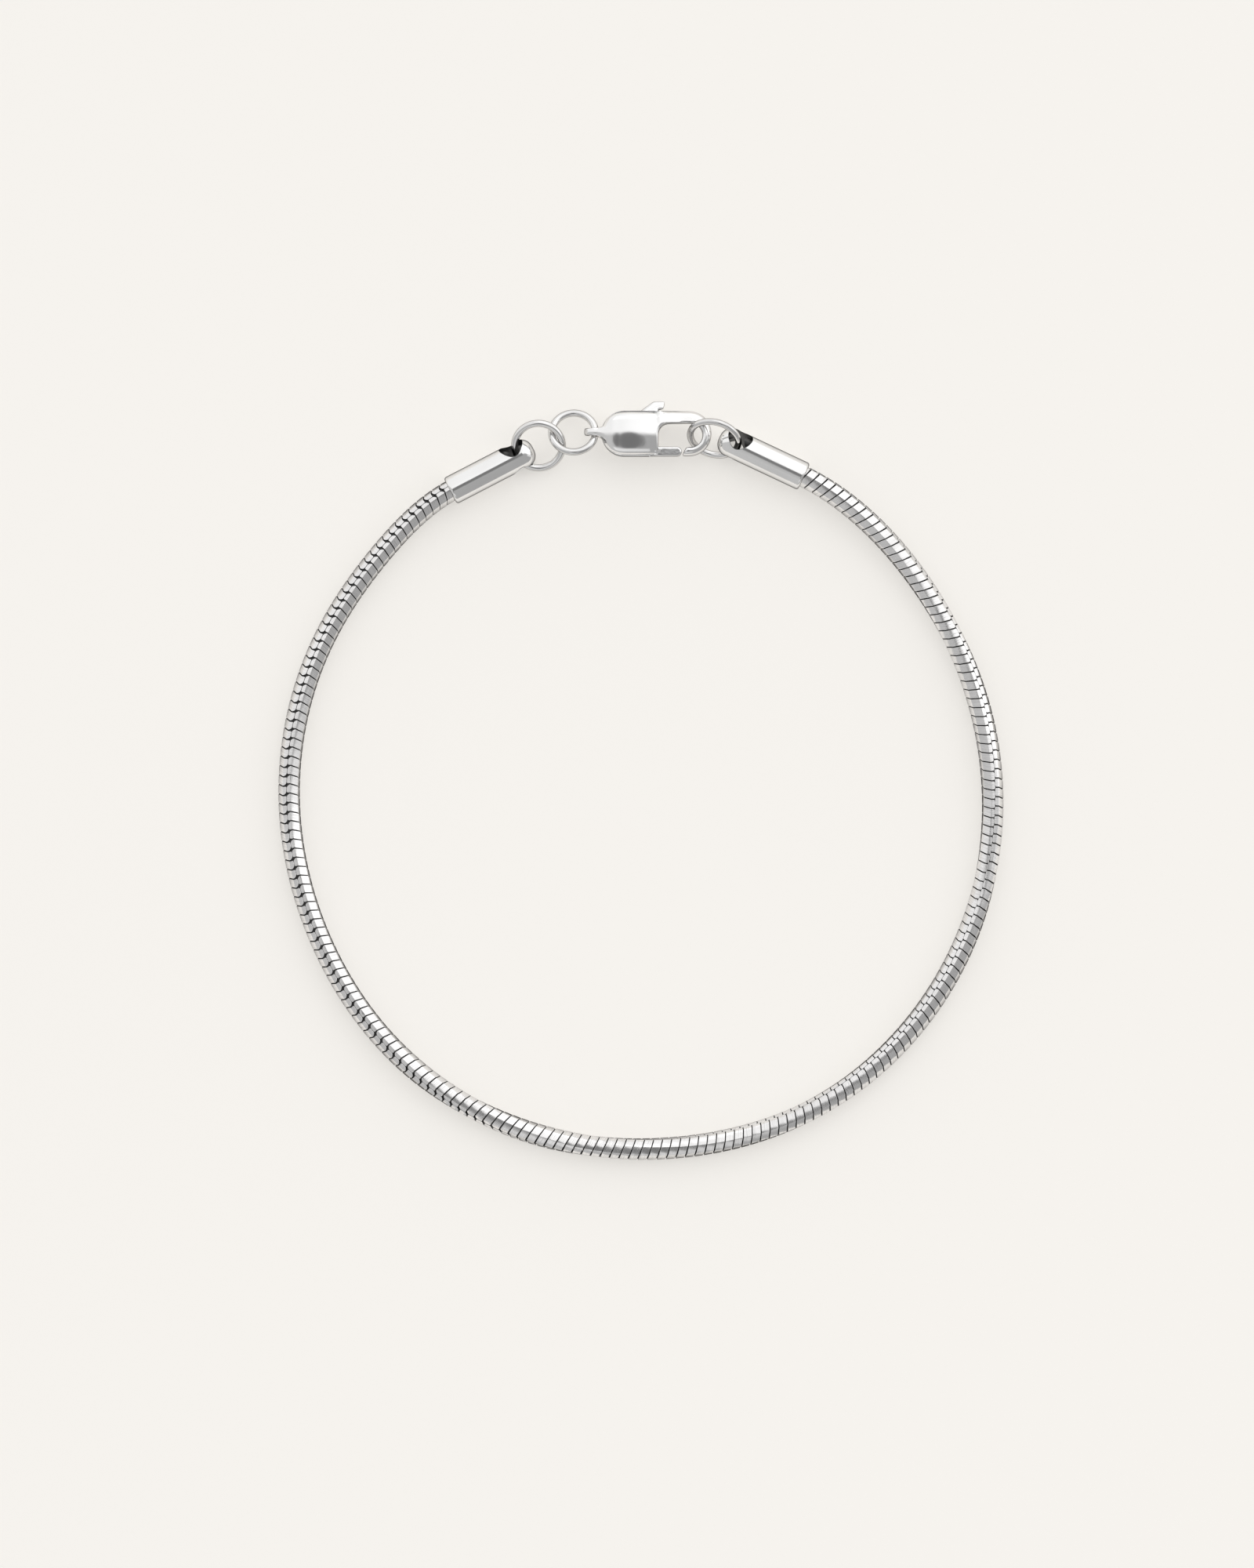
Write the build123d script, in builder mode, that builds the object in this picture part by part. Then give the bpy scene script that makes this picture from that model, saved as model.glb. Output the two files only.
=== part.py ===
from build123d import *

import os
from math import cos, pi, radians, sin, tan

os.makedirs("parts", exist_ok=True)

# Snake chain bracelet, closed, lying on a flat surface at z = 0.
# Millimetres. The origin is the middle of the wrist opening, on that surface, and +Z is up.

# Chain: eight flat facets, each link two staggered half rings
chain_flats = 1.90
link_pitch_wanted = 0.873
link_gap = 0.16
seam_gap = 0.16
plate_slant = 19.6
bore_corner = 0.72
facets = 8

# How the chain lies: it rests on the surface and rises to each end cap
rest_gap = 0.02
rise_run = 12.0
heading_left = 27.4
heading_right = 154.8
chain_in_cap = 2.0
chain_route = [
    (-24.28, 23.45),
    (-30.59, 13.62),
    (-33.25, 0.00),
    (-30.25, -13.47),
    (-22.31, -24.78),
    (-10.28, -31.63),
    (3.47, -33.00),
    (16.79, -29.07),
    (27.15, -19.72),
    (32.63, -6.94),
    (32.42, 6.89),
    (26.94, 19.58),
]

# Slow turn of the chain about its own line
# Columns: share of the chain's length, angle of the first seam from the top towards the outside
seam_turn = [
    (0.00, 30),
    (0.05, 18),
    (0.15, 13),
    (0.28, 10),
    (0.34, 14),
    (0.40, 44),
    (0.46, 84),
    (0.52, 110),
    (0.58, 131),
    (0.66, 148),
    (0.71, 160),
    (0.76, 184),
    (0.82, 202),
    (0.90, 232),
    (1.00, 262),
]

# End caps: a tube with a domed end and a cross hole for a jump ring
cap_diameter = 2.76
cap_length = 8.80
cap_end_wall = 0.55
cap_dome = 1.15
cap_rim = 0.25
cap_play = 0.08
cap_hole = 2.35
cap_hole_from_end = 1.80
hole_rise_left = 30.0
hole_rise_right = 50.0

# Jump rings: outer diameter, wire, and how each leans towards +Y and +X
ring_1_across = 5.16
ring_1_wire = 0.66
ring_1_lean = (24.5, 0.0)
ring_2_across = 4.78
ring_2_wire = 0.66
ring_2_lean = (-23.8, 1.2)
ring_3_across = 5.26
ring_3_wire = 0.62
ring_3_lean = (51.7, 19.0)

# Lobster clasp: a rounded body, an arm and hook in one casting, and a tail that ends in an eye
# Lengths along the clasp are measured from clasp_at, towards the hook
clasp_at = (0.60, 34.37, 1.90)
clasp_width = 4.26
clasp_thick = 3.20
body_back = -2.20
hook_centre = 3.92
crown_round = 0.95
rim_round = 0.55
tail_end = -5.97
tail_width = 0.74
tail_offset = 0.17
neck_end = -3.30
neck_width = 1.50
neck_height = 2.40
neck_round = 0.55
neck_inset = 0.06
eye_height = 2.00
eye_hole = 1.30
eye_end_wall = 0.42
opening_start = 1.04
opening_end = 5.20
opening_middle = -0.15
opening_height = 2.22
opening_corner = 1.00
hook_tip = 3.26
tip_slant = 0.36

# Half the clasp's thickness along its length
# Columns: length, half thickness
clasp_crown = [
    (-4.60, 1.08),
    (-2.75, 1.60),
    (0.30, 1.60),
    (1.40, 1.38),
    (2.20, 1.00),
    (3.00, 0.80),
    (6.30, 0.64),
]

# Lever: thumb piece, web and gate in one plate that turns on a pin
pivot_at = (-0.07, -0.44)
pin_diameter = 0.80
pin_play = 0.03
pin_fit = 0.02
pin_socket = 0.40
lever_thick = 1.30
slot_play = 0.10
lever_hub = 0.72
hub_play = 0.13
gate_end = 3.24
gate_height = 0.89
web_start = 0.30
slot_back = -1.95
slot_foot = -1.00
slot_front = 1.16
thumb_back = -0.67
thumb_front = 1.66
thumb_top = 3.05
thumb_rise = 1.25
thumb_neck = 0.98
thumb_gap = 0.14
lever_round = 0.14

# How the rings and caps lie, one after the other from the clasp outwards
# Measured along, across and up from where each would hang on the last one, pulled straight
ring_2_from_eye = (-0.008, 0.126, -0.056)
ring_1_from_ring_2 = (0.344, -1.235, -0.067)
cap_left_from_ring_1 = (0.129, -1.050)
ring_3_from_hook = (-1.210, -0.450, 0.270)
cap_right_from_ring_3 = (-0.184, -0.600)


# Chain section and link

half_flats = chain_flats / 2
half_corners = half_flats / cos(pi / facets)
slope = tan(radians(plate_slant))
floor_height = half_corners + rest_gap
cap_radius = cap_diameter / 2
cap_height = cap_radius + rest_gap


def heading(angle):
    return Vector(cos(radians(angle)), sin(radians(angle)), 0)


def past(place, reach, step):
    """The place that lies this reach along the clasp's line from another, and a step further."""
    return place + Vector(reach, 0, 0) + Vector(*step)


def cap_mouth(hole_at, angle):
    """The middle of a cap's mouth, where the chain comes out, on the surface."""
    return Vector(hole_at.X, hole_at.Y, 0) - heading(angle) * (cap_length - cap_hole_from_end)


# Places of the rings' middles and of the caps' cross holes

eye_hole_at = tail_end + eye_end_wall + eye_hole / 2
ring_1_reach = (ring_1_across - ring_1_wire) / 2
ring_2_reach = (ring_2_across - ring_2_wire) / 2
ring_3_reach = (ring_3_across - ring_3_wire) / 2
between_rings = ring_1_reach + ring_2_reach - (ring_1_wire + ring_2_wire) / 2
ring_2_at = past(Vector(*clasp_at), eye_hole_at - ring_2_reach, ring_2_from_eye)
ring_1_at = past(ring_2_at, -between_rings, ring_1_from_ring_2)
cap_left_at = past(ring_1_at, -ring_1_reach, cap_left_from_ring_1)
ring_3_at = past(Vector(*clasp_at), opening_end + ring_3_reach, ring_3_from_hook)
cap_right_at = past(ring_3_at, ring_3_reach, cap_right_from_ring_3)

mouth_left = cap_mouth(cap_left_at, heading_left)
mouth_right = cap_mouth(cap_right_at, heading_right)
start = mouth_left + heading(heading_left) * chain_in_cap
finish = mouth_right + heading(heading_right) * chain_in_cap

with BuildLine() as route:
    Spline(
        start,
        mouth_left,
        *chain_route,
        mouth_right,
        finish,
        tangents=(heading(heading_left) * -1, heading(heading_right)),
        tangent_scalars=(1, 1),
    )

path = route.edge()
chain_length = path.length
link_count = round(chain_length / link_pitch_wanted)
link_pitch = chain_length / link_count
plate = link_pitch - link_gap
stagger = link_pitch / 4
link_reach = half_corners * slope + stagger + plate


def slanted(offset, side):
    """The plane of a plate's edge: it leans along the seams' line, the other way on each side."""
    normal = Vector(-side * slope, 0, 1)
    return Plane(origin=(0, 0, offset), z_dir=normal)


with BuildPart() as half_ring:
    with BuildSketch(Plane.XY.offset(-link_reach)):
        RegularPolygon(half_flats, facets, major_radius=False, rotation=180 / facets)
        Rectangle(bore_corner * 2**0.5, bore_corner * 2**0.5, rotation=45, mode=Mode.SUBTRACT)
        with Locations((0, seam_gap / 2 - half_corners)):
            Rectangle(2 * half_corners, 2 * half_corners, mode=Mode.SUBTRACT)
    extrude(amount=2 * link_reach)
    split(bisect_by=slanted(stagger + plate / 2, 1), keep=Keep.BOTTOM)
    split(bisect_by=slanted(stagger - plate / 2, 1), keep=Keep.TOP)

with BuildPart() as seam_bridge:
    with BuildSketch(Plane.XY.offset(-link_reach)):
        RegularPolygon(half_flats, facets, major_radius=False, rotation=180 / facets)
        Rectangle(bore_corner * 2**0.5, bore_corner * 2**0.5, rotation=45, mode=Mode.SUBTRACT)
        with Locations((-half_corners, 0)):
            Rectangle(2 * half_corners, seam_gap, mode=Mode.INTERSECT)
    extrude(amount=2 * link_reach)
    split(bisect_by=slanted(stagger + plate / 2, 1), keep=Keep.BOTTOM)
    split(bisect_by=slanted(-stagger - plate / 2, -1), keep=Keep.TOP)

with BuildPart() as link:
    add(half_ring.part)
    with Locations(Location((0, 0, -2 * stagger), (0, 0, 180))):
        add(half_ring.part)
    add(seam_bridge.part)


# The chain along its route


def seam_angle(share):
    for (low, first), (high, last) in zip(seam_turn, seam_turn[1:]):
        if share <= high:
            return first + (last - first) * (share - low) / (high - low)
    return seam_turn[-1][1]


def rise(length):
    """How far a link's middle stands above its resting height, smooth near each cap."""
    from_cap = min(length, chain_length - length) - 1.5 * chain_in_cap
    share = max(0, min(1, from_cap / rise_run))
    return (cap_height - floor_height) * (1 - share * share * (3 - 2 * share))


def link_place(number):
    """The plane of a link: its Z axis runs along the chain and its second seam faces +X."""
    length = (number + 0.5) * link_pitch
    spot = path.position_at(length, position_mode=PositionMode.LENGTH)
    ahead = path.tangent_at(length, position_mode=PositionMode.LENGTH)
    step = link_pitch / 2
    climb = (rise(length + step) - rise(length - step)) / link_pitch
    along = (ahead + Vector(0, 0, climb)).normalized()
    outer = ahead.cross(Vector(0, 0, 1)).normalized()
    turn = radians(seam_angle(length / chain_length))
    seam = Vector(0, 0, 1) * cos(turn) + outer * sin(turn)
    seam = (seam - along * seam.dot(along)).normalized()
    origin = Vector(spot.X, spot.Y, floor_height + rise(length))
    return Plane(origin=origin, x_dir=seam * -1, z_dir=along)


with BuildPart() as snake_chain:
    with Locations(*[link_place(number) for number in range(link_count)]):
        add(link.part)


# End caps


def end_cap(mouth, angle, side, hole_rise):
    """A hollow cap with its mouth's centre at mouth; side is 1 where the outside is on its left."""
    ahead = heading(angle)
    outside = Vector(0, 0, 1).cross(ahead) * side
    origin = mouth + Vector(0, 0, cap_height)
    profile = Plane(origin=origin, x_dir=outside, z_dir=outside.cross(ahead))
    through = outside * cos(radians(hole_rise)) + Vector(0, 0, 1) * sin(radians(hole_rise))
    cross_hole = Plane(
        origin=origin + ahead * (cap_length - cap_hole_from_end),
        x_dir=ahead,
        z_dir=through,
    )
    bore = half_corners + cap_play
    with BuildPart() as cap:
        with BuildSketch(profile) as wall:
            Rectangle(cap_radius, cap_length, align=Align.MIN)
            outer_corners = wall.vertices().group_by(Axis.X)[-1]
            fillet(outer_corners.sort_by(Axis.Y)[-1], cap_dome)
            fillet(wall.vertices().group_by(Axis.X)[-1].sort_by(Axis.Y)[0], cap_rim)
        revolve(axis=Axis(origin, ahead))
        with BuildSketch(profile) as hollow:
            Rectangle(bore, cap_length - cap_end_wall, align=Align.MIN)
            fillet(hollow.vertices().group_by(Axis.X)[-1].sort_by(Axis.Y)[-1], cap_dome - cap_rim)
        revolve(axis=Axis(origin, ahead), mode=Mode.SUBTRACT)
        with BuildSketch(cross_hole):
            Circle(cap_hole / 2)
        extrude(amount=cap_radius * 1.5, both=True, mode=Mode.SUBTRACT)
    return cap


end_cap_left = end_cap(mouth_left, heading_left, 1, hole_rise_left)
end_cap_right = end_cap(mouth_right, heading_right, -1, hole_rise_right)


# Jump rings


def jump_ring(middle, across, wire, lean):
    """A round wire ring that leans by two angles: up towards +Y and up towards +X."""
    normal = Vector(-tan(radians(lean[1])), -tan(radians(lean[0])), 1)
    with BuildPart(Plane(origin=middle, x_dir=(0, 0, 1), z_dir=normal)) as ring:
        Torus((across - wire) / 2, wire / 2)
    return ring


jump_ring_1 = jump_ring(ring_1_at, ring_1_across, ring_1_wire, ring_1_lean)
jump_ring_2 = jump_ring(ring_2_at, ring_2_across, ring_2_wire, ring_2_lean)
jump_ring_3 = jump_ring(ring_3_at, ring_3_across, ring_3_wire, ring_3_lean)


# Lobster clasp

clasp_plan = Plane(origin=clasp_at)
clasp_side = Plane(origin=clasp_at, x_dir=(1, 0, 0), z_dir=(0, -1, 0))
half_width = clasp_width / 2
half_slot = lever_thick / 2 + slot_play
through = 2 * clasp_width
opening_foot = opening_middle - opening_height / 2
eye_radius = eye_height / 2
eye_at = tail_end + eye_radius


def on_rim(edge):
    """True for the edges round a piece's upper and lower faces, not for those across it."""
    away = edge.center() - Vector(*clasp_at)
    across = edge.geom_type == GeomType.LINE and abs(away.Y) < seam_gap
    return abs(away.Z) > lever_thick / 4 and not across


def across_clasp(length):
    """The plane that cuts the clasp at this length: its X axis is the clasp's width."""
    return Plane(origin=clasp_plan.origin + Vector(length, 0, 0), x_dir=(0, 1, 0), z_dir=(1, 0, 0))


with BuildPart() as clasp_body:
    with BuildSketch(clasp_plan):
        with Locations(((body_back + hook_centre) / 2, 0)):
            SlotCenterToCenter(hook_centre - body_back, clasp_width)
    extrude(amount=clasp_thick, both=True)
    with BuildSketch(clasp_side) as side:
        crown_below = [(length, -half) for length, half in reversed(clasp_crown)]
        Polygon(*clasp_crown, *crown_below, align=None)
        fillet(side.vertices().sort_by(Axis.X)[2:-2], crown_round)
    extrude(amount=clasp_width, both=True, mode=Mode.INTERSECT)
    fillet(clasp_body.edges().filter_by(on_rim), rim_round)

    # Tail with its eye
    with BuildSketch(clasp_side.offset(-tail_offset)):
        with Locations((eye_at, 0)):
            Circle(eye_radius)
        Polygon(
            (eye_at, -eye_radius),
            (eye_at, eye_radius),
            (body_back, eye_radius),
            (body_back, -eye_radius),
            align=None,
        )
    extrude(amount=tail_width / 2, both=True)
    with BuildSketch(across_clasp(eye_at)):
        with Locations((tail_offset, 0)):
            RectangleRounded(tail_width - neck_inset, eye_height - neck_inset, neck_inset)
    with BuildSketch(across_clasp(neck_end)):
        RectangleRounded(neck_width, neck_height, neck_round)
    loft()
    with BuildSketch(clasp_side):
        with Locations((eye_hole_at, 0)):
            Circle(eye_hole / 2)
    extrude(amount=through, both=True, mode=Mode.SUBTRACT)

    # Opening of the hook, and the gap that the gate closes
    with BuildSketch(clasp_plan) as opening:
        with Locations((opening_start, opening_foot)):
            Rectangle(
                opening_end - opening_height / 2 - opening_start,
                opening_height,
                align=Align.MIN,
            )
        fillet(opening.vertices().group_by(Axis.X)[0].sort_by(Axis.Y)[-1], opening_corner)
        with Locations((opening_end - opening_height / 2, opening_middle)):
            Circle(opening_height / 2)
        Polygon(
            (opening_start, opening_foot + tip_slant),
            (opening_start, -half_width - tip_slant),
            (hook_tip - tip_slant / 2, -half_width - tip_slant),
            (hook_tip + 1.5 * tip_slant, opening_foot + tip_slant),
            align=None,
        )
    extrude(amount=through, both=True, mode=Mode.SUBTRACT)

    # Slot for the lever, open along the back, and the pin's two sockets
    with BuildSketch(clasp_plan):
        Polygon(
            (slot_back, half_width + slot_play),
            (slot_foot, pivot_at[1]),
            (slot_front, pivot_at[1]),
            (slot_front, half_width + slot_play),
            align=None,
        )
        with Locations(pivot_at):
            Circle(lever_hub + hub_play)
        with Locations((web_start - hub_play, -half_width - slot_play)):
            Rectangle(opening_start + slot_play - web_start + hub_play, half_width, align=Align.MIN)
    extrude(amount=half_slot, both=True, mode=Mode.SUBTRACT)
    with BuildSketch(clasp_plan):
        with Locations(pivot_at):
            Circle(pin_diameter / 2 + pin_fit)
    extrude(amount=half_slot + pin_socket + pin_fit, both=True, mode=Mode.SUBTRACT)

with BuildPart() as clasp_lever:
    with BuildSketch(clasp_plan):
        with Locations(pivot_at):
            Circle(lever_hub)
        Polygon(
            (pivot_at[0] - lever_hub, pivot_at[1]),
            (thumb_back, half_width),
            (thumb_back + thumb_rise, thumb_top),
            (thumb_front, thumb_top),
            (thumb_front - thumb_gap, half_width + thumb_gap),
            (thumb_neck, half_width + thumb_gap),
            (thumb_neck, lever_hub),
            (pivot_at[0] + lever_hub, pivot_at[1]),
            align=None,
        )
        with Locations((web_start, -half_width)):
            Rectangle(gate_end - web_start - gate_height / 2, gate_height, align=Align.MIN)
        with Locations((gate_end - gate_height / 2, gate_height / 2 - half_width)):
            Circle(gate_height / 2)
        Polygon(
            (web_start, gate_height - half_width),
            (web_start, pivot_at[1]),
            (pivot_at[0] + lever_hub, pivot_at[1]),
            (opening_start, gate_height - half_width),
            align=None,
        )
    extrude(amount=lever_thick / 2, both=True)
    fillet(clasp_lever.edges().filter_by(on_rim), lever_round)
    with BuildSketch(clasp_plan):
        with Locations(pivot_at):
            Circle(pin_diameter / 2 + pin_play)
    extrude(amount=through, both=True, mode=Mode.SUBTRACT)

with BuildPart() as clasp_pin:
    with BuildSketch(clasp_plan):
        with Locations(pivot_at):
            Circle(pin_diameter / 2)
    extrude(amount=half_slot + pin_socket, both=True)


# Finished pieces

snake_chain.part.label = "snake_chain"
end_cap_left.part.label = "end_cap_left"
end_cap_right.part.label = "end_cap_right"
jump_ring_1.part.label = "jump_ring_1"
jump_ring_2.part.label = "jump_ring_2"
jump_ring_3.part.label = "jump_ring_3"
clasp_body.part.label = "clasp_body"
clasp_lever.part.label = "clasp_lever"
clasp_pin.part.label = "clasp_pin"

export_step(snake_chain.part, "parts/snake_chain.step")
export_step(end_cap_left.part, "parts/end_cap_left.step")
export_step(end_cap_right.part, "parts/end_cap_right.step")
export_step(jump_ring_1.part, "parts/jump_ring_1.step")
export_step(jump_ring_2.part, "parts/jump_ring_2.step")
export_step(jump_ring_3.part, "parts/jump_ring_3.step")
export_step(clasp_body.part, "parts/clasp_body.step")
export_step(clasp_lever.part, "parts/clasp_lever.step")
export_step(clasp_pin.part, "parts/clasp_pin.step")
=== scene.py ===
# %% [markdown]
# # A snake chain bracelet in white precious metal
# The bracelet lies closed on a pale surface: a round, eight-sided snake chain, two tube end
# caps, three jump rings and a lobster clasp. The exact solids arrive first as a fixed frame.
# They already have the right size and place, so this lesson is about the plates of the chain,
# about the softened clasp and the finishes, and about the light that polished metal needs to
# look like metal.

# %% Load the frame
import bmesh
import bpy
import math
from mathutils import Euler, Matrix, Vector


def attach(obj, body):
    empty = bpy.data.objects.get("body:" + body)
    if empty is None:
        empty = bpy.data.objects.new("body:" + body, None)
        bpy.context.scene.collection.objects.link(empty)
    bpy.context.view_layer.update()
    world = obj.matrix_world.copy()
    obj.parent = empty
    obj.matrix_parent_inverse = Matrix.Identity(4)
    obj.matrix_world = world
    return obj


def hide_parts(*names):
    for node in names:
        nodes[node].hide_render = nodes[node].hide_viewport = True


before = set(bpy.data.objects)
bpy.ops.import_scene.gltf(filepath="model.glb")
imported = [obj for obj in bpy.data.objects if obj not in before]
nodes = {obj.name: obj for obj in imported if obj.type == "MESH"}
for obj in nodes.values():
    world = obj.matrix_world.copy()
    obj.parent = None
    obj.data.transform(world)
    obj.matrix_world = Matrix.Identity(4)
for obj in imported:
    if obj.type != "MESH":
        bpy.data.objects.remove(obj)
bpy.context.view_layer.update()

mm = 0.001
print("solids:", ", ".join(sorted(nodes)))

# %% [markdown]
# Almost every step below starts in the same way: nothing is selected, then one object is, and
# sometimes its mesh is opened for editing. Four small helpers keep those habits in one place.
# Faces, edges and corners are chosen by where they are, as a hand would choose them.

# %% Helpers for selecting


def pick(piece):
    """Makes this piece the only selected and active one."""
    if bpy.context.object and bpy.context.object.mode != "OBJECT":
        bpy.ops.object.mode_set(mode="OBJECT")
    bpy.ops.object.select_all(action="DESELECT")
    piece.select_set(True)
    bpy.context.view_layer.objects.active = piece


def choose(piece, kind, wanted):
    """Opens the piece for editing with only the wanted corners, edges or faces selected."""
    pick(piece)
    bpy.ops.object.mode_set(mode="EDIT")
    bpy.ops.mesh.select_mode(type=kind)
    bpy.ops.mesh.select_all(action="DESELECT")
    mesh = bmesh.from_edit_mesh(piece.data)
    parts = {"VERT": mesh.verts, "EDGE": mesh.edges, "FACE": mesh.faces}[kind]
    count = 0
    for part in parts:
        if wanted(part):
            part.select_set(True)
            count += 1
    bmesh.update_edit_mesh(piece.data)
    return count


def add_modifier(piece, kind, **settings):
    """Adds a modifier with these settings and applies it."""
    pick(piece)
    modifier = piece.modifiers.new(kind.title(), kind)
    for name, value in settings.items():
        setattr(modifier, name, value)
    bpy.ops.object.modifier_apply(modifier=modifier.name)


def join(piece, other):
    """Joins the other piece into this one."""
    pick(piece)
    other.select_set(True)
    bpy.ops.object.join()


print("selecting helpers ready")

# %% [markdown]
# A finish is a small network of nodes. Written as sums it stays readable, so a thin class wraps
# a socket: adding or multiplying two of them adds the Math node that does it. Every other node
# comes from one method, which sets the node's options first and then its sockets. The nodes
# that are needed often, for vectors, noise and blended colours, have short names of their own.

# %% Node sums


class Wire:
    """One output socket of a node, which can be used in sums."""

    def __init__(self, tree, socket=None):
        self.tree = tree
        self.socket = socket

    def node(self, kind, settings=None, sockets=None, out=0):
        """Adds a node of this kind and returns one of its outputs."""
        made = self.tree.nodes.new(kind)
        for name, value in (settings or {}).items():
            setattr(made, name, value)
        for name, value in (sockets or {}).items():
            if isinstance(value, Wire):
                self.tree.links.new(value.socket, made.inputs[name])
            else:
                made.inputs[name].default_value = value
        return Wire(self.tree, made.outputs[out]) if len(made.outputs) else None

    def sum(self, operation, first, second):
        """Adds a Math node."""
        return self.node("ShaderNodeMath", {"operation": operation}, {0: first, 1: second})

    def __add__(self, other):
        return self.sum("ADD", self, other)

    __radd__ = __add__

    def __mul__(self, other):
        return self.sum("MULTIPLY", self, other)

    __rmul__ = __mul__

    def __sub__(self, other):
        return self.sum("SUBTRACT", self, other)

    def __rsub__(self, other):
        return self.sum("SUBTRACT", other, self)

    def over(self, low, high):
        """Goes smoothly from 0 at low to 1 at high."""
        return self.node(
            "ShaderNodeMapRange",
            {"interpolation_type": "SMOOTHSTEP"},
            {"Value": self, "From Min": low, "From Max": high},
        )

    def vector(self, operation, other=None, out=0):
        """Adds a Vector Math node on this place or direction, with another one if it is given."""
        sockets = {0: self} if other is None else {0: self, 1: other}
        return self.node("ShaderNodeVectorMath", {"operation": operation}, sockets, out)

    def noise(self, scale, detail=2.0, roughness=0.5):
        """Adds a noise texture at this place."""
        return self.node(
            "ShaderNodeTexNoise",
            sockets={"Vector": self, "Scale": scale, "Detail": detail, "Roughness": roughness},
        )

    def blend(self, first, second):
        """Blends two colours: the first one where this is 0 and the second where it is 1."""
        return self.node(
            "ShaderNodeMix",
            {"data_type": "RGBA"},
            {"Factor": self, "A": first, "B": second},
            out="Result",
        )


def fresh_nodes(owner):
    """Empties the nodes of a material or a world and returns a wire to add new ones with."""
    owner.use_nodes = True
    owner.node_tree.nodes.clear()
    return Wire(owner.node_tree)


print("node sums ready")

# %% [markdown]
# ## Camera
# The bracelet is seen from straight above, so it shows its true outline. A long lens from half
# a metre keeps the sides of the small pieces from leaning outwards.

# %% Camera
view_height = 148.15 * mm
lens_mm, sensor_mm = 135, 36
look_at = Vector((-1.326 * mm, 1.333 * mm, 1.0 * mm))

camera_data = bpy.data.cameras.new("top_view")
camera_data.sensor_fit = "VERTICAL"
camera_data.sensor_height = sensor_mm
camera_data.lens = lens_mm
camera_data.clip_start = 0.01
camera = bpy.data.objects.new("top_view", camera_data)
bpy.context.scene.collection.objects.link(camera)
camera.location = look_at + Vector((0, 0, view_height * lens_mm / sensor_mm))
bpy.context.scene.camera = camera
bpy.context.scene.view_settings.view_transform = "Standard"
print("camera height in mm:", round(camera.location.z / mm, 1))

# %% [markdown]
# ## Light and floor
# Polished metal has no look of its own: it shows what stands round it. The room here is bright
# on its north side and less than half as bright in the south. Overhead, where the camera hangs,
# there is one dark oval patch, narrow from east to west, which reaches down towards the south.
# So a round cap shows a white band, a thin dark line along its top and a grey lower half, the
# clasp shows a dark oval, and each facet of the chain takes its own grey. The room is a formula
# on the direction in which a ray leaves: X points east, Y north and Z up. Each edge below is
# the pair of values between which one brightness turns into another.

# %% Bright room
south_glow = 0.50
south_west_glow = 0.20
north_glow = 1.22
north_east_glow = 0.32
north_edge = (-0.08, 0.12)
north_east_edge = (-0.3, 0.4)
south_west_edge = (-0.4, 0.3)
patch_middle = (0.0, -0.09, 0.0)
patch_glow = 0.22
patch_squeeze = 0.36
patch_edge = (0.10, 0.15)

world = bpy.data.worlds.new("bright_room")
bpy.context.scene.world = world
new = fresh_nodes(world)
way = new.node("ShaderNodeTexCoord", out="Generated")
east = new.node("ShaderNodeSeparateXYZ", sockets={"Vector": way}, out="X")
north = new.node("ShaderNodeSeparateXYZ", sockets={"Vector": way}, out="Y")
in_north = north.over(*north_edge)
in_south = 1 - in_north
room = south_glow * in_south + north_glow * in_north
room = room + north_east_glow * in_north * east.over(*north_east_edge)
room = room + south_west_glow * in_south * (1 - east.over(*south_west_edge))
flat_way = new.node("ShaderNodeCombineXYZ", sockets={"X": east, "Y": patch_squeeze * north})
off_patch = flat_way.vector("DISTANCE", patch_middle, out="Value").over(*patch_edge)
glow = patch_glow + (room - patch_glow) * off_patch
backdrop = new.node("ShaderNodeBackground", sockets={"Strength": glow})
new.node("ShaderNodeOutputWorld", sockets={"Surface": backdrop})
print("room glow from", patch_glow, "to", north_glow + north_east_glow)

# %% [markdown]
# Three soft panels give the room its direction: a tall one low in the east, which puts the
# white glints on the facets that face outwards there, a faint one in the south, which lights
# the lower side of the clasp, and a wide one in the north.

# %% Soft panels
panel_distance = 1.0


def soft_panel(name, towards, from_zenith, width, height, glow):
    """A rectangular light that faces the middle of the bracelet. Glow is its brightness.

    Towards is its compass angle from +X and from_zenith its angle from straight up, both in
    degrees.
    """
    light = bpy.data.lights.new(name, "AREA")
    light.shape = "RECTANGLE"
    light.size = width
    light.size_y = height
    light.energy = glow * math.pi * width * height
    panel = bpy.data.objects.new(name, light)
    bpy.context.scene.collection.objects.link(panel)
    low, turn = math.radians(from_zenith), math.radians(towards)
    way = Vector((math.sin(low) * math.cos(turn), math.sin(low) * math.sin(turn), math.cos(low)))
    panel.location = way * panel_distance
    panel.rotation_euler = way.to_track_quat("Z", "Y").to_euler()
    print(name, "at", [round(value, 2) for value in panel.location], "glow", glow)


soft_panel("panel_east", towards=0, from_zenith=68, width=0.5, height=0.8, glow=0.4)
soft_panel("panel_south", towards=270, from_zenith=52, width=0.55, height=0.50, glow=0.3)
soft_panel("panel_north", towards=80, from_zenith=50, width=0.7, height=0.35, glow=0.35)

# %% [markdown]
# The floor is a plain pale sheet of acrylic, lit a little from below like a light table, so
# that small jewellery lies on it almost without a shadow.

# %% Floor
floor_size = 3.0
sheet_noise_scale = 9.0
sheet_dark = (0.58, 0.564, 0.538, 1)
sheet_pale = (0.59, 0.574, 0.547, 1)
table_colour = (0.913, 0.888, 0.847, 1)
table_glow = 0.482

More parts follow.
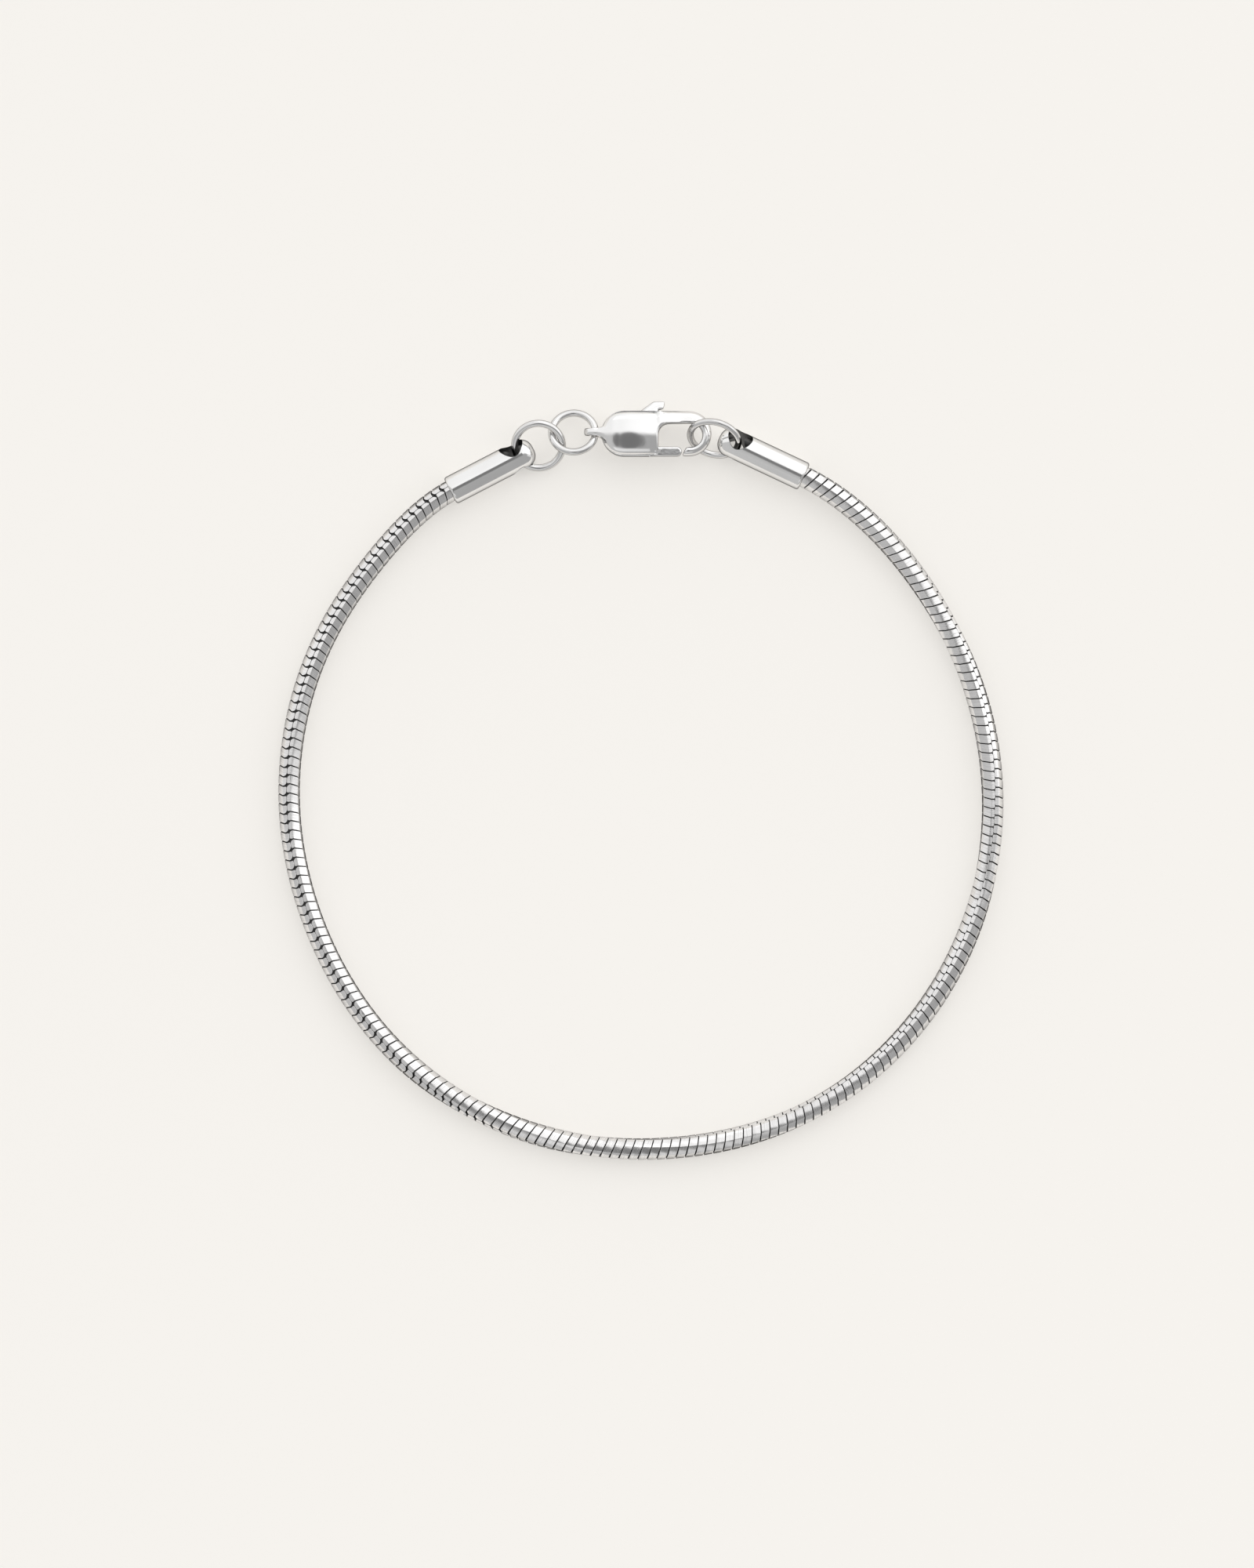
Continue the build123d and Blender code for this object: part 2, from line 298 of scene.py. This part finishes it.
bpy.ops.object.select_all(action="DESELECT")
bpy.ops.mesh.primitive_plane_add(size=floor_size, location=(0, 0, 0))
floor = bpy.context.object
floor.name = "pale_floor"
pale_sheet = bpy.data.materials.new("pale_sheet")
new = fresh_nodes(pale_sheet)
sheet_tone = new.node("ShaderNodeTexCoord", out="Object").noise(sheet_noise_scale)
sheet_skin = new.node(
    "ShaderNodeBsdfPrincipled",
    sockets={
        "Base Color": sheet_tone.blend(sheet_dark, sheet_pale),
        "Roughness": 0.9,
        "Emission Color": table_colour,
        "Emission Strength": table_glow,
    },
)
new.node("ShaderNodeOutputMaterial", sockets={"Surface": sheet_skin})
floor.data.materials.append(pale_sheet)
print("floor laid")

# %% [markdown]
# ## Finishes
# All the metal here is the same white precious metal with a bright plated skin, and only its
# handling differs. Plating hides the warm metal below, so the colour stays neutral. What tells
# the pieces apart is how smooth each one is: turned caps are the glossiest, drawn wire is a
# little rougher, the clasp keeps a trace of its casting, and the small plates of the chain are
# the softest. The wire's two tones are also set darker than the others, as painted shade. A slow
# noise carries haze, a fast one carries tiny scratches and waves. The bands of the chain are
# rolled from wire, which leaves fine lines along each band. Those follow the band, so they need
# a map of it, which is laid on the plates when they are made. At a very flat angle the skin dims,
# which draws the fine grey edge that the photo shows round every piece.

# %% Plated metal
edge_grey = (0.05, 0.05, 0.05, 1)
haze_scale = 0.22 / mm
worn_edge = (0.35, 0.7)
haze_edge = (0.3, 0.7)
grain_haze = 0.35
spot_haze = 0.22
pit_scale = 5 / mm
line_stretch = (0.7, 13.0, 1.0)
line_haze = 0.12
line_haze_edge = (0.45, 0.7)
line_grey = (0.70, 0.692, 0.688, 1)
line_grey_edge = (0.4, 0.75)


def plated_metal(
    name,
    bright,
    worn,
    gloss,
    haze,
    grain,
    depth,
    spot=None,
    spot_grey_and_shade=0.42,
    spot_depth=0,
    lines_depth=0,
):
    """White plated metal. Grain is the size of its fine marks and depth is their height.

    Bright and worn are its two tones. Gloss is its least roughness and haze what comes on top.
    Spot, if given, makes a number from a place: 0 on polished metal and 1 where it was left
    rough. Spot_grey_and_shade is its grey there: the gate's own pitted grey, and painted shade
    in the caps' holes. Spot_depth is the height of its pits. Lines_depth is the height of the
    drawing lines that run along a band.
    """
    material = bpy.data.materials.new(name)
    new = fresh_nodes(material)
    place = new.node("ShaderNodeTexCoord", out="Object")
    slow = place.noise(haze_scale)
    fast = place.noise(1 / grain, detail=3.0, roughness=0.6)
    colour = slow.over(*worn_edge).blend((*bright, 1), (*worn, 1))
    rough = gloss + haze * slow.over(*haze_edge) + grain_haze * haze * fast
    height = depth * fast
    if spot:
        rough_and_shaded = spot(place)
        pits = place.noise(pit_scale, roughness=0.6)
        # Where the spot is 1 the colour turns grey: the gate's own pitted grey, and painted shade
        # in the caps' holes.
        colour = rough_and_shaded.blend(colour, (spot_grey_and_shade, spot_grey_and_shade, spot_grey_and_shade, 1))
        rough = rough + spot_haze * rough_and_shaded
        height = height + spot_depth * rough_and_shaded * pits
    if lines_depth:
        band = new.node("ShaderNodeUVMap", {"uv_map": "band"})
        lines = band.vector("MULTIPLY", line_stretch).noise(1.0, detail=3.0, roughness=0.6)
        colour = lines.over(*line_grey_edge).blend(colour, line_grey)
        rough = rough + line_haze * lines.over(*line_haze_edge)
        height = height + lines_depth * lines
    bump = new.node("ShaderNodeBump", sockets={"Height": height, "Distance": 1.0})
    skin = new.node(
        "ShaderNodeBsdfPrincipled",
        sockets={
            "Base Color": colour,
            "Metallic": 1.0,
            "Roughness": rough,
            "Specular Tint": edge_grey,
            "Normal": bump,
        },
    )
    new.node("ShaderNodeOutputMaterial", sockets={"Surface": skin})
    print(name, "roughness from", gloss, "to", round(gloss + (1 + grain_haze) * haze, 2))
    return material


cast_look = {
    "bright": (0.90, 0.895, 0.89),
    "worn": (0.84, 0.835, 0.83),
    "gloss": 0.09,
    "haze": 0.08,
    "grain": 0.60 * mm,
}
chain_skin = plated_metal(
    "plated_chain",
    bright=(0.90, 0.89, 0.885),
    worn=(0.83, 0.82, 0.815),
    gloss=0.13,
    haze=0.07,
    grain=0.12 * mm,
    depth=0.0020 * mm,
    lines_depth=0.0030 * mm,
)
# The wire's darker bright and worn tones are painted shade.
wire_skin = plated_metal(
    "plated_wire",
    bright=(0.80, 0.795, 0.79),
    worn=(0.70, 0.695, 0.69),
    gloss=0.10,
    haze=0.08,
    grain=0.35 * mm,
    depth=0.0020 * mm,
)
cast_skin = plated_metal("plated_casting", depth=0.0035 * mm, **cast_look)

# %% [markdown]
# Two places on the fittings aren't polished. The flat sides of the gate keep the pitted face
# that they had in the mould, inside a polished rim. The bore and the cross hole of each cap
# were drilled and never buffed, so they are rougher, and their dark grey is painted shade for
# the little light inside them. All are found from the place alone: the gate's face by its
# distance from a short line along the gate, and the bore and the cross hole by the distance
# from their axes. Each cross hole leans outwards and rises, by the last two angles in the list
# of caps. The angle before them is the way that the cap points.

# %% Places left rough, with painted shade in the caps' holes
gate_start = Vector((2.10, 32.68, 0)) * mm
gate_end = Vector((3.42, 32.68, 0)) * mm
gate_face = 0.20 * mm
gate_rim = 0.27 * mm
hole_from_mouth = 7.0 * mm
bore_radius = 1.16 * mm
bore_length = 8.24 * mm
cross_radius = 1.19 * mm
cross_reach = 2.0 * mm
wall_fade = 0.03 * mm
end_fade = 0.06 * mm


def near_line(start, end, low, high):
    """A spot that is 1 within low of a line in plan, and fades out at high."""

    def spot(place):
        line = end - start
        flat = place.vector("SUBTRACT", start).vector("MULTIPLY", (1, 1, 0))
        share = flat.vector("DOT_PRODUCT", line, out="Value") * (1 / line.length_squared)
        share = share.node("ShaderNodeClamp", sockets={"Value": share})
        along = share.node(
            "ShaderNodeVectorMath", {"operation": "SCALE"}, {0: line, "Scale": share}
        )
        return 1 - flat.vector("DISTANCE", along, out="Value").over(low, high)

    return spot


def in_bore(mouth, ahead, radius, length):
    """A spot that is 1 inside a hole of this radius and length that starts at mouth."""

    def spot(place):
        arm = place.vector("SUBTRACT", mouth)
        away = arm.vector("CROSS_PRODUCT", ahead).vector("LENGTH", out="Value")
        deep = arm.vector("DOT_PRODUCT", ahead, out="Value")
        inside = 1 - away.over(radius, radius + wall_fade)
        return inside * (1 - deep.over(length, length + end_fade))

    return spot


def drilled(hole, ahead, through):
    """A spot that is 1 in a cap's bore and on the wall of its cross hole."""
    bore = in_bore(hole - hole_from_mouth * ahead, ahead, bore_radius, bore_length)
    cross = in_bore(hole - cross_reach * through, through, cross_radius, 2 * cross_reach)

    def spot(place):
        in_cross = cross(place)
        return in_cross.sum("MAXIMUM", in_cross, bore(place))

    return spot


gate_skin = plated_metal(
    "plated_lever",
    depth=0.0030 * mm,
    spot=near_line(gate_start, gate_end, gate_face, gate_rim),
    spot_depth=0.07 * mm,
    **cast_look,
)

cap_skins = {}
for side, hole, heading, outwards, rise in (
    ("left", Vector((-11.795, 32.211, 1.40)) * mm, 27.4, 117.4, 30),
    ("right", Vector((9.046, 33.320, 1.40)) * mm, 154.8, 64.8, 50),
):
    ahead = Euler((0, 0, math.radians(heading))).to_matrix() @ Vector((1, 0, 0))
    tilt = Euler((0, math.radians(-rise), math.radians(outwards)))
    through = tilt.to_matrix() @ Vector((1, 0, 0))
    cap_skins[side] = plated_metal(
        "plated_cap_" + side,
        bright=(0.91, 0.905, 0.90),
        worn=(0.86, 0.855, 0.85),
        gloss=0.07,
        haze=0.06,
        grain=0.50 * mm,
        depth=0.0020 * mm,
        spot=drilled(hole, ahead, through),
        # The dark grey in the bore and the cross hole is painted shade.
        spot_grey_and_shade=0.17,
        spot_depth=0.03 * mm,
    )

# %% [markdown]
# Light hardly reaches the folded tabs inside the chain, and nobody polishes them. They get a
# rough metal with a dark colour that is painted shade, so that the gaps between the plates read
# as fine dark lines.

# %% Painted shade inside the chain
inside_noise_scale = 3 / mm
# These dark colours are painted shade for the gaps between the plates.
inside_shade_dark = (0.06, 0.06, 0.062, 1)
inside_shade_pale = (0.16, 0.158, 0.155, 1)

inside_shade_skin = bpy.data.materials.new("painted_shade_inside")
new = fresh_nodes(inside_shade_skin)
inside_noise = new.node("ShaderNodeTexCoord", out="Object").noise(inside_noise_scale)
inside_shade_metal = new.node(
    "ShaderNodeBsdfPrincipled",
    sockets={
        "Base Color": inside_noise.blend(inside_shade_dark, inside_shade_pale),
        "Metallic": 0.6,
        "Roughness": 0.5 + 0.2 * inside_noise,
    },
)
new.node("ShaderNodeOutputMaterial", sockets={"Surface": inside_shade_metal})
print("inside metal ready")

# %% [markdown]
# ## One plate of the chain
# A snake chain is a row of thin bands, each bent round half of the chain. On one side of a seam
# the bands stand half a step ahead of those on the other side, and each band leans a little.
# One band is an eight-sided tube with its ends open, cut by three planes: one along the seam
# and two that lean. What is left is a strip of five flats. One of its corners at the first seam
# is well rounded, which gives the fish-scale look, and then the strip gets its thickness.

# %% Sizes of a plate
chain_flats = 1.90 * mm
link_step = 0.8731 * mm
plate_gap = 0.11 * mm
seam_gap = 0.03 * mm
plate_slant = math.radians(19.6)
plate_thick = 0.24 * mm
lobe_round = 0.36 * mm
corner_round = 0.06 * mm
end_round = 0.10 * mm
rim_width = 0.045 * mm

half_flats = chain_flats / 2
slope = math.tan(plate_slant)
half_plate = (link_step - plate_gap) / 2
print("plate about", round(2 * half_plate / mm, 2), "mm wide")

# %% [markdown]
# The tube stands along Z with a flat towards +X. Its middle is where the link's middle is, and
# the band lies half above the seam plane: its own middle is a quarter step higher at X = 0, and
# both its edges climb by the slant from the first seam, on the -X side, to the second one.

# %% One plate from a cut tube
half_side = math.pi / 8
tube_length = 6 * mm


def eight_sided(flats_radius, length, ends):
    """Adds an eight-sided tube along Z. Flats_radius is half its width across the flats."""
    bpy.ops.object.select_all(action="DESELECT")
    bpy.ops.mesh.primitive_cylinder_add(
        vertices=8,
        radius=flats_radius / math.cos(half_side),
        depth=length,
        end_fill_type=ends,
        location=(0, 0, 0),
    )
    tube = bpy.context.object
    choose(tube, "FACE", lambda face: True)
    bpy.ops.transform.rotate(value=half_side, orient_axis="Z", center_override=(0, 0, 0))
    bpy.ops.object.mode_set(mode="OBJECT")
    return tube


plate = eight_sided(half_flats, tube_length, "NOTHING")
plate.name = "chain_plate"
bpy.ops.object.mode_set(mode="EDIT")
for spot, normal in (
    ((0, seam_gap / 2, 0), (0, -1, 0)),
    ((0, 0, link_step / 4 + half_plate), (-slope, 0, 1)),
    ((0, 0, link_step / 4 - half_plate), (slope, 0, -1)),
):
    bpy.ops.mesh.select_all(action="SELECT")
    bpy.ops.mesh.bisect(plane_co=spot, plane_no=normal, clear_outer=True)
bpy.ops.object.mode_set(mode="OBJECT")
print("plate:", len(plate.data.polygons), "flats,", len(plate.data.vertices), "corners")

# %% [markdown]
# At the first seam the lower corner of each band is rounded into a lobe, which fits into the
# notch between two bands across the seam. The other three corners are only eased. Rounding a
# corner of a strip is a vertex bevel.

# %% Round the plate's corners
end_zone = 0.6 * half_flats


def end_corners(side, lower):
    """Picks the strip's end corners on one side, below or above its middle line."""

    def wanted(corner):
        middle_line = link_step / 4 + slope * corner.co.x
        beside = side * corner.co.x > end_zone and corner.co.y < seam_gap
        return beside and (corner.co.z < middle_line) == lower

    return wanted


for side, lower, radius, steps in (
    (-1, True, lobe_round, 4),
    (-1, False, corner_round, 1),
    (1, True, end_round, 1),
    (1, False, end_round, 1),
):
    found = choose(plate, "VERT", end_corners(side, lower))
    bpy.ops.mesh.bevel(offset=radius, segments=steps, affect="VERTICES")
    bpy.ops.object.mode_set(mode="OBJECT")
    print("corners rounded:", found, "by", round(radius / mm, 2), "mm")

# %% [markdown]
# Solidify gives the strip its thickness inwards, and a narrow bevel along its rim and across
# its flats catches the bright line of light that outlines every plate in the chain. Only what
# faces outwards gets the polished skin: the walls in the gaps get the dark inside material,
# which is painted shade.

# %% Thickness and rim of the plate
surface_share = 0.99
outwards_share = 0.35

add_modifier(plate, "SOLIDIFY", thickness=plate_thick, offset=-1.0, use_even_offset=True)
choose(plate, "EDGE", lambda edge: True)
bpy.ops.mesh.normals_make_consistent(inside=False)
bpy.ops.object.mode_set(mode="OBJECT")
outside = sum(face.normal.dot(face.center) > 0 for face in plate.data.polygons)
print("plate now has", len(plate.data.polygons), "faces,", outside, "of them facing away")


def outer_edge(edge):
    """Picks the edges of the outer surface: the rim and the folds between the flats."""
    least = (half_flats * surface_share) ** 2
    return all((corner.co.x**2 + corner.co.y**2) > least for corner in edge.verts)


found = choose(plate, "EDGE", outer_edge)
bpy.ops.mesh.bevel(offset=rim_width, segments=1, affect="EDGES", clamp_overlap=True)
bpy.ops.object.mode_set(mode="OBJECT")
plate.data.materials.append(chain_skin)
plate.data.materials.append(inside_shade_skin)
for face in plate.data.polygons:
    outwards = Vector((face.center.x, face.center.y, 0)).normalized()
    face.material_index = 0 if face.normal.dot(outwards) > outwards_share else 1
print("rim edges bevelled:", found, "faces:", len(plate.data.polygons))

# %% [markdown]
# The other half of the link is the same plate turned half a turn about the X axis, which sends
# it below the seam plane and half a step back.

# %% Second plate of the link
pick(plate)
bpy.ops.object.duplicate()
second_plate = bpy.context.object
bpy.ops.object.mode_set(mode="EDIT")
bpy.ops.mesh.select_all(action="SELECT")
bpy.ops.transform.rotate(value=math.pi, orient_axis="X", center_override=(0, 0, 0))
join(plate, second_plate)
link = plate
link.name = "chain_link"
link_low = min(corner.co.z for corner in link.data.vertices)
link_high = max(corner.co.z for corner in link.data.vertices)
print("link:", len(link.data.polygons), "faces")
print("it reaches from", round(link_low / mm, 2), "to", round(link_high / mm, 2), "mm")

# %% [markdown]
# Under the plates each link also has a short dark eight-sided core. It stands for the folded
# tabs that hold the links together, and its dark colour is painted shade, which shows as
# darkness in the gaps.

# %% Core of the link
core_radius = 0.66 * mm
core_play = 0.01 * mm

core = eight_sided(core_radius, link_step - core_play, "NGON")
core.data.materials.append(chain_skin)
core.data.materials.append(inside_shade_skin)
for face in core.data.polygons:
    face.material_index = 1
join(link, core)
print("link with its core:", len(link.data.polygons), "faces")

# %% [markdown]
# ## Where the links lie
# The frame's chain is a row of separate links whose shape is plain but whose places are exact.
# A copy of it is merged, so that each link is one island of corners, and each island gives one
# place: its middle, the way along the chain from its neighbours' middles, and the way to the
# second seam, where the corners reach furthest along the chain.

# %% Read the places of the links
same_corner = 0.00001 * mm


def islands(piece):
    """Lists the joined groups of corners of a merged copy of this piece."""
    copy = bpy.data.objects.new("places", piece.data.copy())
    bpy.context.scene.collection.objects.link(copy)
    choose(copy, "VERT", lambda corner: True)
    bpy.ops.mesh.remove_doubles(threshold=same_corner)
    bpy.ops.object.mode_set(mode="OBJECT")
    mesh = bmesh.new()
    mesh.from_mesh(copy.data)
    seen, groups = set(), []
    for first in mesh.verts:
        if first in seen:
            continue
        group, front = [], [first]
        seen.add(first)
        while front:
            corner = front.pop()
            group.append(corner.co.copy())
            for edge in corner.link_edges:
                other = edge.other_vert(corner)
                if other not in seen:
                    seen.add(other)
                    front.append(other)
        groups.append(group)
    mesh.free()
    pick(copy)
    bpy.ops.object.delete()
    return groups


def middle(corners):
    """The mean place of these corners."""
    return sum(corners, Vector()) / len(corners)


def turn_from_clasp(corners):
    """The angle round the bracelet from the clasp, counter-clockwise."""
    spot = middle(corners)
    return (math.atan2(spot.y, spot.x) - math.pi / 2) % (2 * math.pi)


link_corners = sorted(islands(nodes["snake_chain"]), key=turn_from_clasp)
middles = [middle(corners) for corners in link_corners]
places = []
for number, corners in enumerate(link_corners):
    before = middles[max(number - 1, 0)]
    after = middles[min(number + 1, len(middles) - 1)]
    along = (after - before).normalized()
    outwards = Vector()
    for corner in corners:
        arm = corner - middles[number]
        lengthwise = arm.dot(along)
        outwards += (arm - along * lengthwise) * abs(lengthwise)
    outwards.normalize()
    across = along.cross(outwards)
    reach = [(corner - middles[number]).dot(outwards) for corner in corners]
    origin = middles[number] + outwards * (max(reach) + min(reach)) / 2
    turned = Matrix((outwards, across, along)).transposed().to_4x4()
    places.append(Matrix.Translation(origin) @ turned)
print("links placed:", len(places))

# %% [markdown]
# Each place gets its own copy of the link, and all of them become one mesh, because the chain
# is one piece. The map of the bands runs round the link in one direction and across its two
# bands in the other. It moves on by one step per link, so that no two links share their lines.

# %% The chain's plates
map_step = 1.37
smooth_angle = math.radians(30)

plates = bmesh.new()
for place in places:
    first = len(plates.verts)
    plates.from_mesh(link.data)
    plates.verts.ensure_lookup_table()
    for corner in plates.verts[first:]:
        corner.co = place @ corner.co
chain_mesh = bpy.data.meshes.new("chain_plates")
plates.to_mesh(chain_mesh)
plates.free()
chain = bpy.data.objects.new("chain_plates", chain_mesh)
bpy.context.scene.collection.objects.link(chain)
band_map = chain_mesh.uv_layers.new(name="band")
link_loops = len(link.data.loops)
for number in range(len(chain_mesh.loops)):
    spot = link.data.vertices[link.data.loops[number % link_loops].vertex_index].co
    round_about = math.atan2(spot.y, spot.x) * half_flats
    tilt = slope if spot.y > 0 else -slope
    across_band = (spot.z - tilt * spot.x) / mm + map_step * (number // link_loops)
    band_map.data[number].uv = (round_about / mm, across_band)
pick(link)
bpy.ops.object.delete()
pick(chain)
bpy.ops.object.shade_smooth_by_angle(angle=smooth_angle)
chain.data.materials.append(chain_skin)
chain.data.materials.append(inside_shade_skin)
print("chain plates:", len(chain.data.polygons), "faces")

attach(chain, "bracelet")
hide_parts("snake_chain")

# %% [markdown]
# ## The clasp
# The exact body and lever have crisp edges, but real ones are cast in wax and tumbled, so their
# flanks swell and every edge is soft. A copy of each solid is merged, wrapped in fine even
# squares with a voxel remesh, and rubbed smooth, as the tumbler does. A second, longer rub
# reaches only the corners that a test picks, through a vertex group.

# %% Tumbling helpers
merge_distance = 0.0005 * mm
rub_strength = 0.5


def soft_copy(node, name, grid, rounds):
    """A merged copy of a solid in even squares, its edges rubbed soft."""
    copy = bpy.data.objects.new(name, nodes[node].data.copy())
    bpy.context.scene.collection.objects.link(copy)
    choose(copy, "VERT", lambda corner: True)
    bpy.ops.mesh.remove_doubles(threshold=merge_distance)
    bpy.ops.object.mode_set(mode="OBJECT")
    add_modifier(copy, "REMESH", mode="VOXEL", voxel_size=grid)
    add_modifier(copy, "SMOOTH", factor=rub_strength, iterations=rounds)
    print(name, "has", len(copy.data.polygons), "faces")
    return copy


def rub_more(piece, wanted, rounds):
    """Rubs only the corners whose place passes the test."""
    group = piece.vertex_groups.new(name="rubbed")
    picked = [corner.index for corner in piece.data.vertices if wanted(corner.co)]
    group.add(picked, 1.0, "REPLACE")
    add_modifier(
        piece, "SMOOTH", factor=rub_strength, iterations=rounds, vertex_group="rubbed"
    )
    piece.vertex_groups.clear()
    print(piece.name, "rubbed more at", len(picked), "corners")


def rise_between(value, low, high):
    """Goes smoothly from 0 at low to 1 at high."""
    share = max(0.0, min(1.0, (value - low) / (high - low)))
    return share * share * (3 - 2 * share)


print("tumbling helpers ready")

# %% [markdown]
# All lengths here are counted from the clasp's middle: along it towards the hook, across it
# towards the thumb piece, and up or down from its middle plane. Each pair is a range in which
# one shape turns softly into the next. First the crown's end above the tail is filled out, and
# then the crown, the hook and the tail are rubbed longer.

# %% Cast body, wrapped, filled and rubbed
clasp_at = Vector((0.60, 34.37, 1.90)) * mm
casting_grid = 0.06 * mm
casting_rounds = 25
nose_tip = -4.60 * mm
nose_top = -3.60 * mm
nose_slope = 0.28
nose_height = (0.4 * mm, 1.1 * mm)
crown_end = -2.75 * mm
crown_front = 1.6 * mm
crown_height = (0.85 * mm, 1.35 * mm)
crown_rounds = 90
hook_start = 3.1 * mm
hook_rounds = 60
tail_start = -5.2 * mm
tail_rounds = 40


def on_crown(spot):
    """Picks the broad upper and lower faces of the body."""
    return abs(spot.z - clasp_at.z) > crown_height[0] and spot.x < clasp_at.x + crown_front


casting = soft_copy("clasp_body", "clasp_casting", casting_grid, casting_rounds)
for corner in casting.data.vertices:
    arm = corner.co - clasp_at
    before_crown = min(max(0.0, crown_end - arm.x), crown_end - nose_top)
    before_top = min(max(0.0, nose_top - arm.x) / (nose_top - nose_tip), 1.0)
    fill = nose_slope * before_crown * (1 - before_top)
    fill *= rise_between(abs(arm.z), *nose_height)
    corner.co.z += math.copysign(fill, arm.z)
rub_more(casting, on_crown, crown_rounds)
rub_more(casting, lambda spot: spot.x > clasp_at.x + hook_start, hook_rounds)
rub_more(casting, lambda spot: spot.x < clasp_at.x + tail_start, tail_rounds)

# %% [markdown]
# The body's broad faces are domed like a small pillow, which turns the reflection of the dark
# patch overhead into an oval. The filled end makes the oval longer. The arm's face leans a
# little outwards, so it catches the bright north side, and the hook is domed round its own
# line, almost like a bent wire.

# %% Domed faces of the cast body
body_middle = -1.85 * mm
body_front = 1.04 * mm
front_blend = (body_front - 0.5 * mm, body_front + 0.9 * mm)
dome_half_length = 2.7 * mm
dome_half_width = 2.13 * mm
dome_drop_along = 0.14 * mm
dome_drop_across = 0.48 * mm
arm_lean = 0.16
arm_inner_edge = 0.96 * mm
arm_blend = (body_front, body_front + 0.5 * mm)
arm_height = (0.1 * mm, 0.5 * mm)
hook_middle = 3.92 * mm
hook_line = 1.62 * mm
hook_half_width = 0.50 * mm
hook_drop = 0.10 * mm
hook_blend = (2.7 * mm, 3.3 * mm)
hook_fade = (0.2 * mm, 1.2 * mm)

for corner in casting.data.vertices:
    arm = corner.co - clasp_at
    along = (arm.x - body_middle) / dome_half_length
    across = arm.y / dome_half_width
    on_body = 1 - rise_between(arm.x, *front_blend)
    drop = dome_drop_along * min(1.0, along**2) + dome_drop_across * min(1.0, across**2)
    drop *= on_body * rise_between(abs(arm.z), *crown_height)
    on_arm = rise_between(arm.x, *arm_blend)
    on_arm *= rise_between(abs(arm.z), *arm_height)
    drop += arm_lean * on_arm * max(0.0, arm.y - arm_inner_edge)
    off_line = math.hypot(max(0.0, arm.x - hook_middle), arm.y) - hook_line
    on_hook = on_arm * rise_between(arm.x, *hook_blend)
    on_hook *= 1 - rise_between(arm.y, *hook_fade)
    drop += hook_drop * on_hook * min(1.0, (off_line / hook_half_width) ** 2)
    corner.co.z -= math.copysign(drop, arm.z)
pick(casting)
bpy.ops.object.shade_smooth()
casting.data.materials.clear()
casting.data.materials.append(cast_skin)
print("casting:", len(casting.data.polygons), "faces")

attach(casting, "bracelet")
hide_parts("clasp_body")

# %% [markdown]
# The lever gets the same treatment. Its thumb piece stands clear of the body and is rubbed
# much longer, until it is a small rounded fin, and it tapers outwards from its foot.

# %% Lever with its thumb piece and gate
lever_grid = 0.045 * mm
lever_rounds = 14
thumb_start = 2.0 * mm
thumb_rounds = 130
thumb_foot = 2.1 * mm
thumb_taper = 0.45 / mm

lever = soft_copy("clasp_lever", "thumb_lever", lever_grid, lever_rounds)
rub_more(lever, lambda spot: spot.y > clasp_at.y + thumb_start, thumb_rounds)
for corner in lever.data.vertices:
    arm = corner.co - clasp_at
    out = max(0.0, arm.y - thumb_foot)
    corner.co.z -= thumb_taper * out * arm.z
pick(lever)
bpy.ops.object.shade_smooth()
lever.data.materials.clear()
lever.data.materials.append(gate_skin)
print("lever:", len(lever.data.polygons), "faces")

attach(lever, "lever")
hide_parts("clasp_lever")

# %% [markdown]
# ## Caps, rings and pin
# These solids already have their true shape, so they stay and only get their finish.

# %% Finishes of the fittings
finishes = {
    "end_cap_left": cap_skins["left"],
    "end_cap_right": cap_skins["right"],
    "jump_ring_1": wire_skin,
    "jump_ring_2": wire_skin,
    "jump_ring_3": wire_skin,
    "clasp_pin": wire_skin,
}
for name, finish in finishes.items():
    for slot in nodes[name].material_slots:
        slot.material = finish
    print(name, "is now", finish.name)
